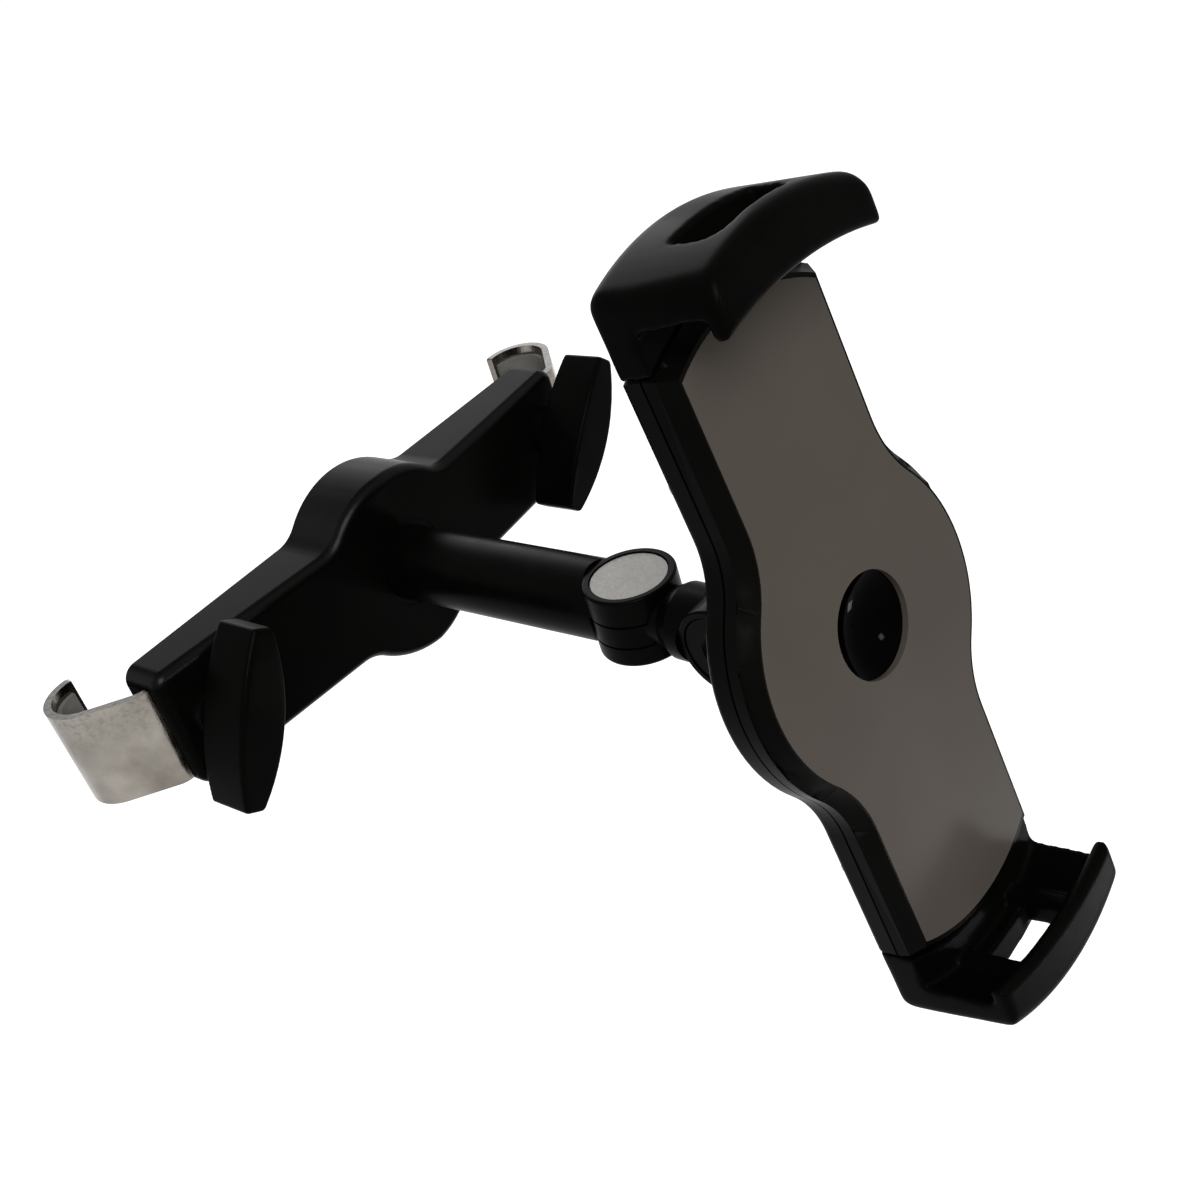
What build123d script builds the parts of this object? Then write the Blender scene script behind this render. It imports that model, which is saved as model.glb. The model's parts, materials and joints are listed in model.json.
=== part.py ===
from build123d import *
import math
import os

os.makedirs("parts", exist_ok=True)

# The mount hooks on two headrest posts. X runs along the bracket, Z is up along the posts,
# the arm and the tablet face point to -Y. The origin is the middle of the bracket's back.

# Bracket
bracket_length = 124.0
bracket_height = 27.0
bracket_mid_depth = 16.0
bracket_end_depth = 10.2
bulge_radius = 21.0
bulge_blend = 8.0
bracket_wall = 2.2
bracket_corner = 3.2
bracket_round = 2.2
rear_plate_thickness = 2.4
lid_gap = 0.1
screw_circle = 16.2
screw_turn = 48.0
screw_tip_cover = 5.5
boss_margin = 0.3
screw_shank = 1.2
screw_head = 2.1
screw_head_height = 1.4

# Hooks for the headrest posts
strip_thickness = 1.6
strip_width = 21.6
strip_depth = 6.4
strip_inside = 40.0
slot_clearance = 0.25
post_radius = 6.0
pad_thickness = 1.0
pad_width = 17.0
pad_gap = 0.05
pad_end_angle = 8.0
post_depth = 7.4
post_reach = 4.5
hook_bend = 3.0
hook_stand = 1.4
hook_end_angle = 81.0
hook_tip_round = 1.5
hook_travel = 16.0
left_extension = 0.0
right_extension = 2.2

# Wing knobs and their studs
knob_inset = 8.5
knob_rise = 1.2
knob_length = 35.8
knob_middle = 10.4
knob_end = 4.4
knob_height = 10.8
knob_crown = 1.3
knob_stand = 3.4
knob_round = 0.7
knob_corner = 1.0
left_knob_turn = 31.0
right_knob_turn = 42.0
boss_radius = 5.5
washer_thickness = 0.8
stud_radius = 2.4
stud_clearance = 0.1
stud_in_knob = 5.0
clamp_nut_side = 8.0
seat_gap = 0.2

# Arm
arm_radius = 8.0
arm_reach = 76.4
arm_socket = 4.0
arm_fit = 0.05
arm_collar = 1.4
arm_bolt_radius = 2.4
arm_bolt_grip = 12.0
arm_boss_radius = 11.0
arm_boss_depth = 4.0
arm_bolt_head = 4.4
arm_bolt_head_height = 3.0

# Elbow
knuckle_radius = 9.15
knuckle_top = 7.3
knuckle_bottom = 7.6
upper_joint = 1.9
link_lug_height = 4.3
friction_thickness = 0.5
friction_radius = 8.5
cap_radius = 7.7
cap_thickness = 1.0
cap_sink = 0.25
hinge_bolt_radius = 2.5
hinge_clearance = 0.05
hinge_head_radius = 4.2
hinge_head_height = 2.2
hinge_nut_flats = 8.0
hinge_nut_height = 3.4
knuckle_round = 0.5
turn_gap = 0.45
elbow_turn = -4.3

# Link and tilt hinge
link_reach = 24.4
link_radius = 7.4
link_waist = 6.0
link_taper = 3.0
tilt_face = 6.5
tilt_lug_width = 8.0
tilt_cap_hole = 4.1
drive_flats = 3.0
drive_depth = 1.3
holder_tilt = -12.4

# Pivot between the tilt hinge and the holder
flange_radius = 13.0
flange_thickness = 3.0
flange_round = 1.0
neck_radius = 8.0
spin_gap = 0.2
hub_radius = 13.5
hub_height = 3.0
hub_flare = 2.2
spindle_radius = 6.0
spindle_fit = 0.1
pivot_washer_radius = 8.2
pivot_washer_thickness = 0.8
pivot_screw_radius = 2.0
pivot_screw_grip = 8.0
pivot_head_radius = 3.8
pivot_head_height = 1.4
pivot_floor = 0.6
dish_depth = 3.2
holder_spin = 0.0

# Holder body and face plate
face_distance = 26.6
plate_thickness = 1.2
plate_half_width = 17.4
plate_bulge = 27.3
plate_blend = 20.8
plate_half_length = 59.0
plate_end_radius = 34.7
hole_radius = 9.3
plate_gap = 0.1
rim_width = 2.8
rim_land = 0.4
rim_bevel = 4.0
end_rim = 3.2
body_thickness = 10.0
frame_thickness = 5.2
rear_round = 1.6
spring_hub_wall = 1.6
holder_screw_height = 38.0

# Jaws
jaw_reach = 15.5
jaw_lean = 1.9
jaw_wall = 6.2
jaw_floor = 7.6
jaw_front = 14.6
lip_height = 9.9
lip_thickness = 3.2
lip_edge_radius = 74.0
lip_half_width = 19.6
jaw_round = 2.8
lip_round = 1.2
jaw_corner = 2.4
window_half = 9.8
window_low = 0.8
window_high = 9.6
window_round = 3.6
seam = 0.3
upper_extension = 0.0
lower_extension = 0.0
rail_offset = 13.0
rail_width = 3.4
rail_thickness = 2.8
rail_inner_end = 6.0
rail_gap = 0.25
jaw_pad_thickness = 0.8
jaw_pad_height = 2.0
jaw_pad_half_width = 12.0
spring_radius = 1.2
spring_wire = 0.3
spring_turns = 14
spring_tab_width = 3.6
spring_tab_length = 5.0

# Closeness used to pick edges and corners by their place
pick = 0.01


def cylinder_y(radius, front, back, x=0.0, z=0.0):
    """Cylinder along Y between two depths, depth counted toward -Y."""
    disc = Plane.XZ.offset(back) * Pos(x, z) * Circle(radius)
    return extrude(disc, amount=front - back)


def cylinder_z(radius, low, high, y=0.0):
    return extrude(Pos(0, y, low) * Circle(radius), amount=high - low)


def turned(points):
    """Solid turned about the Y axis from (radius, depth) corners, depth toward -Y."""
    outline = make_face(Polyline(*[(r, -d) for r, d in points], close=True))
    return revolve(outline, Axis.Y)


# Bracket shells

def bracket_outline(inset):
    length = bracket_length - 2 * inset
    height = bracket_height - 2 * inset
    bar = RectangleRounded(length, height, bracket_corner - inset)
    outline = bar + Circle(bulge_radius - inset)
    corners = outline.vertices().filter_by(lambda v: abs(v.X) < bulge_radius)
    return fillet(corners, bulge_blend + inset)


def bracket_wedge(inset):
    half = bracket_length / 2
    points = [
        (-half, 0),
        (half, 0),
        (half, inset - bracket_end_depth),
        (0, inset - bracket_mid_depth),
        (-half, inset - bracket_end_depth),
    ]
    plan = make_face(Polyline(*points, close=True))
    return extrude(plan, amount=2 * bulge_radius, both=True)


def bracket_block(inset):
    block = extrude(Plane.XZ * bracket_outline(inset), amount=bracket_mid_depth)
    return block & bracket_wedge(inset)


def front_depth(x):
    slope = (bracket_mid_depth - bracket_end_depth) / (bracket_length / 2)
    return bracket_mid_depth - slope * abs(x)


knob_offset = bracket_length / 2 - knob_inset
knob_seat = front_depth(knob_offset) + knob_stand
boss_top = knob_seat - seat_gap - washer_thickness
strip_front = strip_depth + strip_thickness / 2
strip_back = strip_depth - strip_thickness / 2
arm_root = bracket_mid_depth - arm_socket
arm_boss_back = arm_root - arm_boss_depth
arm_washer_thickness = washer_thickness
screw_angle = math.radians(screw_turn)
screw_places = [
    (sx * screw_circle * math.cos(screw_angle), sz * screw_circle * math.sin(screw_angle))
    for sx in (-1, 1)
    for sz in (-1, 1)
]
bracket_boss_radius = screw_head + boss_margin


def bracket_front_cover():
    cover = bracket_block(0)
    front_edges = cover.faces().filter_by(lambda f: f.normal_at().Y < -0.9).edges()
    rim = front_edges.filter_by(lambda e: abs(e.center().X) > pick or abs(e.center().Z) > pick)
    cover = fillet(rim, bracket_round)
    cover -= bracket_block(bracket_wall)
    for side in (-1, 1):
        x = side * knob_offset
        boss_root = front_depth(x) - bracket_wall / 2
        cover += cylinder_y(boss_radius, boss_top, boss_root, x, knob_rise)
        cover += cylinder_y(boss_radius, boss_root, strip_front + seat_gap, x, knob_rise)
        cover -= cylinder_y(stud_radius + stud_clearance, boss_top, strip_front, x, knob_rise)
        slot_width = strip_width + 2 * slot_clearance
        slot_height = strip_thickness + 2 * slot_clearance
        slot = Box(4 * bracket_wall, slot_height, slot_width)
        cover -= Pos(side * bracket_length / 2, -strip_depth, 0) * slot
    cover += cylinder_y(arm_boss_radius, bracket_mid_depth - bracket_wall / 2, arm_boss_back)
    cover -= cylinder_y(arm_radius + arm_fit, bracket_mid_depth, arm_root)
    cover -= cylinder_y(arm_bolt_radius + arm_fit, arm_root, arm_boss_back)
    cover -= cylinder_y(arm_radius + arm_collar, bracket_mid_depth, bracket_mid_depth - arm_collar)
    boss_front = bracket_mid_depth - bracket_wall
    boss_limit = bracket_block(bracket_wall / 2)
    for x, z in screw_places:
        boss = cylinder_y(bracket_boss_radius, boss_front, rear_plate_thickness + lid_gap, x, z)
        cover += boss & boss_limit
        cover -= cylinder_y(screw_shank, boss_front - bracket_wall, rear_plate_thickness, x, z)
    return cover


def bracket_rear_plate():
    inset = bracket_wall + lid_gap
    plate = extrude(Plane.XZ * bracket_outline(inset), amount=rear_plate_thickness)
    for x, z in screw_places:
        plate -= cylinder_y(screw_shank + lid_gap, rear_plate_thickness, 0, x, z)
        plate -= cylinder_y(screw_head + lid_gap, screw_head_height, 0, x, z)
    return plate


def countersunk_screw(x, z):
    tip = bracket_mid_depth - screw_tip_cover
    head = cylinder_y(screw_head, screw_head_height, 0, x, z)
    return head + cylinder_y(screw_shank, tip, 0, x, z)


def bracket_screws():
    return Compound(children=[countersunk_screw(x, z) for x, z in screw_places])


# Hooks

hook_inner = post_radius + pad_thickness + pad_gap
hook_middle = hook_inner + strip_thickness / 2
post_offset = bracket_length / 2 + post_reach


def hook_path():
    """Centre line of the right hook, pulled fully in, from its inner end to its tip."""
    start = Vector(bracket_length / 2 - strip_inside, -strip_depth)
    leave = Vector(bracket_length / 2 + hook_stand, -strip_depth)
    post = Vector(post_offset, post_depth)
    away = post - leave
    reach = math.hypot(away.X, away.Y)
    heading = math.atan2(away.Y, away.X) - math.asin(hook_middle / reach)
    run = math.sqrt(reach ** 2 - hook_middle ** 2)
    touch = leave + Vector(math.cos(heading), math.sin(heading)) * run
    begin = math.degrees(heading) - 90
    end = 180 - hook_end_angle
    arc = CenterArc((post.X, post.Y), hook_middle, begin, end - begin)
    return FilletPolyline(start, leave, touch, radius=hook_bend) + arc, (begin, end)


def right_hook(extension):
    path, angles = hook_path()
    hook = extrude(trace(path, strip_thickness), amount=strip_width / 2, both=True)
    tip = (path @ 1).X - strip_thickness / 2
    corners = Pos(tip, 0) * Rectangle(2 * hook_tip_round, 2 * strip_width)
    kept = RectangleRounded(4 * hook_middle, strip_width, hook_tip_round)
    corners -= Pos(tip + 2 * hook_middle, 0) * kept
    hook -= extrude(Plane.XZ.offset(-post_depth) * corners, amount=-2 * hook_middle)
    slot_length = hook_travel + 2 * (stud_radius + slot_clearance)
    slot_middle = knob_offset - hook_travel / 2
    groove = SlotOverall(slot_length + stud_radius, 2 * (stud_radius + slot_clearance))
    cut = extrude(Plane.XZ * Pos(slot_middle, knob_rise) * groove, amount=2 * strip_depth)
    return Pos(extension, 0, 0) * (hook - cut)


def right_hook_pad(extension):
    _, (begin, end) = hook_path()
    outer = hook_inner - pad_gap
    inner = outer - pad_thickness
    ring = Circle(outer) - Circle(inner)
    a = math.radians(begin + pad_end_angle)
    b = math.radians(end - pad_end_angle)
    m = (a + b) / 2
    far = 3 * outer
    wedge = Polyline(
        (0, 0),
        (far * math.cos(a), far * math.sin(a)),
        (far * math.cos(m), far * math.sin(m)),
        (far * math.cos(b), far * math.sin(b)),
        close=True,
    )
    section = ring & make_face(wedge)
    pad = extrude(Pos(post_offset, post_depth) * section, amount=pad_width / 2, both=True)
    return Pos(extension, 0, 0) * pad


def to_left(shape):
    return mirror(shape, Plane.YZ)


# Wing knobs

def wing_knob(x, turn):
    half = knob_length / 2
    end = knob_end / 2
    mid = knob_middle / 2
    outline = make_face([
        ThreePointArc((-end, half), (-mid, 0), (-end, -half)),
        Line((-end, -half), (end, -half)),
        ThreePointArc((end, -half), (mid, 0), (end, half)),
        Line((end, half), (-end, half)),
    ])
    outline = fillet(outline.vertices(), knob_corner)
    bar = extrude(Plane.XZ * outline, amount=knob_height + knob_crown)
    crown_radius = (half ** 2 + knob_crown ** 2) / (2 * knob_crown)
    crown_centre = crown_radius - knob_height - knob_crown
    crown = Pos(0, crown_centre, 0) * Rot(0, 90, 0) * Cylinder(crown_radius, 2 * knob_middle)
    bar &= crown
    front = bar.faces().sort_by(Axis.Y)[0]
    bar = fillet(front.edges(), knob_round)
    bar -= cylinder_y(stud_radius, stud_in_knob, 0)
    return Pos(x, -knob_seat, knob_rise) * Rot(0, turn, 0) * bar


def knob_stud(x):
    back = rear_plate_thickness + seat_gap
    return cylinder_y(stud_radius, knob_seat + stud_in_knob, back, x, knob_rise)


def clamp_nut(x):
    side = Pos(x, knob_rise) * Rectangle(clamp_nut_side, clamp_nut_side)
    hole = Pos(x, knob_rise) * Circle(stud_radius + stud_clearance)
    back = rear_plate_thickness
    return extrude(Plane.XZ.offset(back) * (side - hole), amount=strip_back - seat_gap - back)


def knob_washer(x):
    ring = Circle(boss_radius) - Circle(stud_radius + stud_clearance)
    return extrude(Plane.XZ.offset(boss_top) * Pos(x, knob_rise) * ring, amount=washer_thickness)


# Arm and elbow

link_lug_top = upper_joint - friction_thickness
link_lug_bottom = link_lug_top - link_lug_height
lower_cap_top = link_lug_bottom - friction_thickness
turn_radius = knuckle_radius + turn_gap


def cap_floor(outer_face):
    return outer_face - cap_sink - cap_thickness


def head_floor(outer_face):
    return cap_floor(outer_face) - hinge_head_height - seat_gap


def knuckle_pockets(inner_face, outer_face, bore):
    """Space in a knuckle's disc for its cap, the bolt's head and the bolt."""
    space = cylinder_z(cap_radius + hinge_clearance, cap_floor(outer_face), outer_face)
    space += cylinder_z(hinge_head_radius + hinge_clearance, head_floor(outer_face), cap_floor(outer_face))
    return space + cylinder_z(bore, inner_face, head_floor(outer_face))


def cap_disc(outer_face):
    floor = cap_floor(outer_face)
    disc = cylinder_z(cap_radius, floor, floor + cap_thickness)
    return chamfer(disc.edges().sort_by(Axis.Z)[-1:], cap_sink)


def headed_bolt(tip, outer_face):
    floor = head_floor(outer_face)
    bolt = cylinder_z(hinge_bolt_radius, tip, floor)
    bolt += cylinder_z(hinge_head_radius, floor, floor + hinge_head_height)
    drive = RegularPolygon(drive_flats / 2, 6, major_radius=False)
    top = floor + hinge_head_height
    return bolt - extrude(Pos(0, 0, top - drive_depth) * drive, amount=drive_depth)


def hex_nut(low):
    hexagon = RegularPolygon(hinge_nut_flats / 2, 6, major_radius=False) - Circle(hinge_bolt_radius)
    return extrude(Pos(0, 0, low) * hexagon, amount=hinge_nut_height)


def friction_washer(low):
    ring = Circle(friction_radius) - Circle(hinge_bolt_radius + hinge_clearance)
    return extrude(Pos(0, 0, low) * ring, amount=friction_thickness)


elbow_axis = Pos(0, -arm_reach, 0)


def arm():
    tube = cylinder_y(arm_radius, arm_reach, arm_root)
    tube -= cylinder_z(turn_radius, -2 * arm_radius, upper_joint, -arm_reach)
    tube -= cylinder_z(knuckle_radius, knuckle_top, 2 * arm_radius, -arm_reach)
    lug = cylinder_z(knuckle_radius, upper_joint, knuckle_top)
    lug = fillet(lug.edges().sort_by(Axis.Z)[-1:], knuckle_round)
    tube += elbow_axis * lug
    tube -= elbow_axis * knuckle_pockets(upper_joint, knuckle_top, hinge_bolt_radius)
    tube -= cylinder_y(arm_bolt_radius, arm_root + arm_bolt_grip, arm_root)
    return tube


def arm_bolt():
    head_back = arm_boss_back - arm_washer_thickness
    bolt = cylinder_y(arm_bolt_radius, arm_root + arm_bolt_grip, head_back)
    return bolt + cylinder_y(arm_bolt_head, head_back, head_back - arm_bolt_head_height)


def arm_washer():
    ring = Circle(arm_boss_radius - bracket_wall) - Circle(arm_bolt_radius)
    return extrude(Plane.XZ.offset(arm_boss_back - arm_washer_thickness) * ring, amount=arm_washer_thickness)


hinge_nut_low = lower_cap_top - hinge_nut_height


def hinge_lower_cap():
    cap = cylinder_z(knuckle_radius, -knuckle_bottom, lower_cap_top)
    cap = fillet(cap.edges().sort_by(Axis.Z)[:1], 2 * knuckle_round)
    pocket = RegularPolygon(hinge_nut_flats / 2 + hinge_clearance, 6, major_radius=False)
    cap -= extrude(Pos(0, 0, hinge_nut_low) * pocket, amount=hinge_nut_height)
    return elbow_axis * cap


def friction_washers():
    pair = Compound(children=[friction_washer(link_lug_top), friction_washer(lower_cap_top)])
    return elbow_axis * pair


# Link and tilt hinge. The tilt hinge is drawn along Z with its cap on top and laid on its side,
# so that the cap faces -X.

elbow_place = elbow_axis * Rot(0, 0, elbow_turn)
to_tilt = Pos(0, -link_reach, 0) * Rot(0, -90, 0)
tilt_axis = elbow_place * to_tilt
tilt_inner = friction_thickness / 2
tilt_far = tilt_inner + tilt_lug_width
tilt_nut_low = -tilt_far


def link():
    """Middle disc of the elbow, round stem and one disc of the tilt hinge in one piece."""
    stem = turned([
        (0, knuckle_radius / 2),
        (link_waist, knuckle_radius / 2),
        (link_waist, turn_radius),
        (link_radius, turn_radius + link_taper),
        (link_radius, link_reach),
        (0, link_reach),
    ])
    stem -= cylinder_z(turn_radius, -2 * link_radius, link_lug_bottom)
    stem -= cylinder_z(turn_radius, link_lug_top, 2 * link_radius)
    stem -= to_tilt * cylinder_z(turn_radius, -2 * link_radius, tilt_inner)
    stem -= to_tilt * cylinder_z(knuckle_radius, tilt_face, 2 * link_radius)
    disc = cylinder_z(knuckle_radius, tilt_inner, tilt_face)
    disc = fillet(disc.edges().sort_by(Axis.Z)[-1:], knuckle_round)
    body = cylinder_z(knuckle_radius, link_lug_bottom, link_lug_top) + stem + to_tilt * disc
    body -= cylinder_z(hinge_bolt_radius + hinge_clearance, link_lug_bottom, link_lug_top)
    body -= to_tilt * knuckle_pockets(tilt_inner, tilt_face, hinge_bolt_radius)
    return elbow_place * body


def tilt_cap():
    ring = cap_disc(tilt_face) - cylinder_z(tilt_cap_hole, cap_floor(tilt_face), tilt_face)
    return tilt_axis * ring


# Pivot, drawn about the tilt hinge's axis with the tablet face toward -Y

holder_offset = (tilt_inner + tilt_far) / 2
knuckle_place = elbow_place * Pos(0, -link_reach, 0) * Rot(holder_tilt, 0, 0) * Pos(holder_offset, 0, 0)
holder_place = knuckle_place * Rot(0, holder_spin, 0)
body_back = face_distance - body_thickness
cavity_front = face_distance - frame_thickness
hub_back = body_back - hub_height
flange_front = hub_back - spin_gap
flange_back = flange_front - flange_thickness
pivot_head_front = cavity_front - spin_gap
pivot_washer_front = pivot_head_front - pivot_head_height
spindle_front = pivot_washer_front - pivot_washer_thickness
pivot_seat = spindle_front - spin_gap


def turned_section(*edges):
    """Solid turned about the Y axis from the edges of a half section."""
    return revolve(make_face(list(edges)), Axis.Y)


def tilt_knuckle():
    """Disc of the tilt hinge on the holder's side, with its neck, flange and spindle."""
    half = tilt_lug_width / 2
    across = Rot(0, -90, 0)
    lug = across * cylinder_z(knuckle_radius, -half, half)
    neck = cylinder_y(neck_radius, flange_front, 0) & Box(tilt_lug_width, 4 * flange_front, 4 * neck_radius)
    flange = cylinder_y(flange_radius, flange_front, flange_back)
    flange = fillet(flange.edges().sort_by(Axis.Y)[-1:], flange_round)
    knuckle = lug + neck + flange + cylinder_y(spindle_radius, spindle_front, flange_front)
    knuckle -= across * cylinder_z(hinge_bolt_radius + hinge_clearance, -half, half)
    nut_room = hinge_nut_flats / math.sqrt(3) + seat_gap
    knuckle -= across * cylinder_z(nut_room, -half, hinge_nut_height - half)
    knuckle -= cylinder_y(pivot_screw_radius, spindle_front, spindle_front - pivot_screw_grip)
    return knuckle_place * knuckle


def pivot_washer():
    ring = Circle(pivot_washer_radius) - Circle(pivot_screw_radius)
    washer = extrude(Plane.XZ.offset(spindle_front) * ring, amount=pivot_washer_thickness)
    return knuckle_place * washer


def pivot_screw():
    screw = cylinder_y(pivot_screw_radius, pivot_washer_front, spindle_front - pivot_screw_grip)
    screw += cylinder_y(pivot_head_radius, pivot_head_front, pivot_washer_front)
    return knuckle_place * screw


def pivot_cap():
    """Glossy dished cap in the plate's hole, over the pivot's screw."""
    edge = hole_radius - lid_gap
    bottom = cavity_front + pivot_floor
    dish_radius = (edge ** 2 + dish_depth ** 2) / (2 * dish_depth)
    halfway = dish_radius - math.sqrt(dish_radius ** 2 - (edge / 2) ** 2)
    dish = ThreePointArc((0, -bottom), (edge / 2, -bottom - halfway), (edge, -bottom - dish_depth))
    back = Polyline(dish @ 1, (edge, -cavity_front), (0, -cavity_front), dish @ 0)
    return holder_place * turned_section(dish, back)


# Holder outlines in the face plane: local x across, local y along the holder

end_centre = plate_half_length - plate_end_radius


def holder_outline(grow, end_grow):
    """Waisted outline with a round middle and arched ends, grown outward from the plate's edge."""
    half = plate_half_width + grow
    bulge_edge = plate_bulge + grow
    bar = Rectangle(2 * half, 2 * (plate_half_length + end_grow))
    end_disc = Circle(plate_end_radius + end_grow)
    reach = Pos(0, end_centre) * end_disc + Pos(0, -end_centre) * end_disc
    reach += Rectangle(2 * half, 2 * end_centre)
    outline = (bar & reach) + Circle(bulge_edge)
    corners = outline.vertices().filter_by(lambda v: abs(abs(v.X) - half) < pick)
    corners = corners.filter_by(lambda v: abs(v.Y) < bulge_edge)
    return fillet(corners, plate_blend - grow)


def face_plane(depth):
    """Plane facing -Y at a depth in front of the tilt hinge's axis."""
    return Plane.XZ.offset(depth)


def rail_channels(front, back, clearance):
    channels = Part()
    for side in (-1, 1):
        for end in (-1, 1):
            length = plate_half_length + end_rim
            strip = Pos(side * rail_offset, end * (rail_inner_end - rail_gap + length) / 2)
            strip = strip * Rectangle(rail_width + 2 * clearance, length - rail_inner_end + rail_gap)
            channels += extrude(face_plane(back) * strip, amount=front - back)
    return channels


rail_back = cavity_front - rail_gap - rail_thickness
cavity_back = rail_back - rail_gap
spring_start = hole_radius + spring_hub_wall + lid_gap
holder_screw_offset = (rail_offset + rail_width / 2 + plate_half_width + rim_width) / 2
screw_tip = face_distance - 2 * plate_thickness
holder_screw_places = [
    (sx * holder_screw_offset, sz * holder_screw_height)
    for sx in (-1, 1)
    for sz in (-1, 1)
]


def holder_rear_cover():
    outline = holder_outline(rim_width, end_rim)
    cover = extrude(face_plane(body_back) * outline, amount=cavity_front - body_back)
    cover = fillet(cover.faces().sort_by(Axis.Y)[-1].edges(), rear_round)
    cover += turned([
        (0, cavity_front),
        (hub_radius, cavity_front),
        (hub_radius + hub_flare, body_back),
        (hub_radius, hub_back),
        (0, hub_back),
    ])
    cover -= cylinder_y(spindle_radius + spindle_fit, cavity_front, hub_back)
    cover -= cylinder_y(pivot_washer_radius + spin_gap, cavity_front, pivot_seat)
    cover -= rail_channels(cavity_front, cavity_back, rail_gap)
    for end in (-1, 1):
        length = plate_half_length + end_rim - spring_start
        channel = Rectangle(spring_tab_width + 2 * rail_gap, length)
        channel = Pos(0, end * (spring_start + length / 2)) * channel
        cover -= extrude(face_plane(cavity_back) * channel, amount=cavity_front - cavity_back)
    for x, z in holder_screw_places:
        cover -= cylinder_y(screw_shank + lid_gap, cavity_front, body_back, x, z)
        cover -= cylinder_y(screw_head + lid_gap, body_back + screw_head_height, body_back, x, z)
    return holder_place * cover


def holder_front_frame():
    straight = frame_thickness - rim_bevel
    outline = holder_outline(rim_width, end_rim)
    frame = extrude(face_plane(cavity_front) * outline, amount=straight)
    lower_rim = face_plane(cavity_front + straight) * outline
    upper_rim = face_plane(face_distance) * holder_outline(rim_land, end_rim - rim_width + rim_land)
    frame += loft([lower_rim.face(), upper_rim.face()], ruled=True)
    pocket = holder_outline(plate_gap, plate_gap)
    frame -= extrude(face_plane(face_distance - plate_thickness) * pocket, amount=plate_thickness)
    frame -= cylinder_y(hole_radius, face_distance, cavity_front)
    for x, z in holder_screw_places:
        frame -= cylinder_y(screw_shank, screw_tip, cavity_front, x, z)
    return holder_place * frame


def face_plate():
    outline = holder_outline(0, 0) - Circle(hole_radius)
    plate = extrude(face_plane(face_distance - plate_thickness) * outline, amount=plate_thickness)
    return holder_place * plate


def holder_screw(x, z):
    screw = cylinder_y(screw_shank, screw_tip, body_back, x, z)
    screw += cylinder_y(screw_head, body_back + screw_head_height, body_back, x, z)
    return holder_place * screw


def holder_screws():
    return Compound(children=[holder_screw(x, z) for x, z in holder_screw_places])


# Jaws, drawn for the upper end and turned over for the lower one

jaw_half = plate_half_width + rim_width
jaw_inner_arc = plate_end_radius + end_rim + seam
jaw_outer_arc = plate_end_radius + jaw_reach
jaw_front_arc = jaw_outer_arc - jaw_lean
jaw_inner_wall = jaw_outer_arc - jaw_wall
lip_tip = end_centre + jaw_front_arc - lip_height
lip_arc = jaw_front_arc - lip_height
jaw_front_depth = face_distance + jaw_front
jaw_floor_front = body_back + jaw_floor
lip_back = jaw_front_depth - lip_thickness


def arc_band(inner, outer, half_width, corner):
    """Ring sector about the plate's end arc, cut to a width, with rounded outer corners."""
    band = Pos(0, end_centre) * (Circle(outer) - Circle(inner))
    band &= Pos(0, end_centre + outer / 2) * Rectangle(2 * half_width, outer)
    if corner > 0:
        band = fillet(band.vertices().group_by(Axis.Y)[-1], corner)
    return band


def jaw_taper():
    """Outline of a jaw seen from its end: full width and rounded at the back, narrower at the lip."""
    plan = make_face(Polyline(
        (-jaw_half, -body_back),
        (jaw_half, -body_back),
        (jaw_half, -jaw_floor_front),
        (lip_half_width, -jaw_front_depth),
        (-lip_half_width, -jaw_front_depth),
        (-jaw_half, -jaw_floor_front),
        close=True,
    ))
    plan = fillet(plan.vertices().group_by(Axis.Y)[-1], rear_round)
    plan = fillet(plan.vertices().group_by(Axis.Y)[0], lip_round)
    return extrude(plan, amount=end_centre + 2 * jaw_outer_arc)


def jaw_section():
    """Hooked section of a jaw: floor behind the tablet, leaning end wall and lip."""
    section = make_face(Polyline(
        (jaw_inner_arc, -body_back),
        (jaw_outer_arc, -body_back),
        (jaw_front_arc, -jaw_front_depth),
        (lip_arc - lip_height, -jaw_front_depth),
        (lip_arc - lip_height, -lip_back),
        (jaw_inner_wall, -lip_back),
        (jaw_inner_wall, -jaw_floor_front),
        (jaw_inner_arc, -jaw_floor_front),
        close=True,
    ))
    outer = section.vertices().filter_by(lambda v: v.X > jaw_inner_wall + lip_round)
    section = fillet(outer, jaw_round)
    inner = section.vertices().filter_by(lambda v: abs(v.X - jaw_inner_wall) < pick)
    return fillet(inner, lip_round)


def lip_clearance():
    """Space inside the lip's edge, which is flatter than the wall and rounded over."""
    lip_middle = -(lip_back + jaw_front_depth) / 2
    reach = lip_edge_radius + lip_round
    space = Pos(reach / 2, lip_middle) * Rectangle(reach, lip_thickness + 2 * lip_round)
    lip = RectangleRounded(2 * lip_height, lip_thickness, lip_round)
    space -= Pos(lip_edge_radius + lip_height, lip_middle) * lip
    return Pos(0, 0, lip_tip - lip_edge_radius) * revolve(space, Axis.Y)


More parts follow.
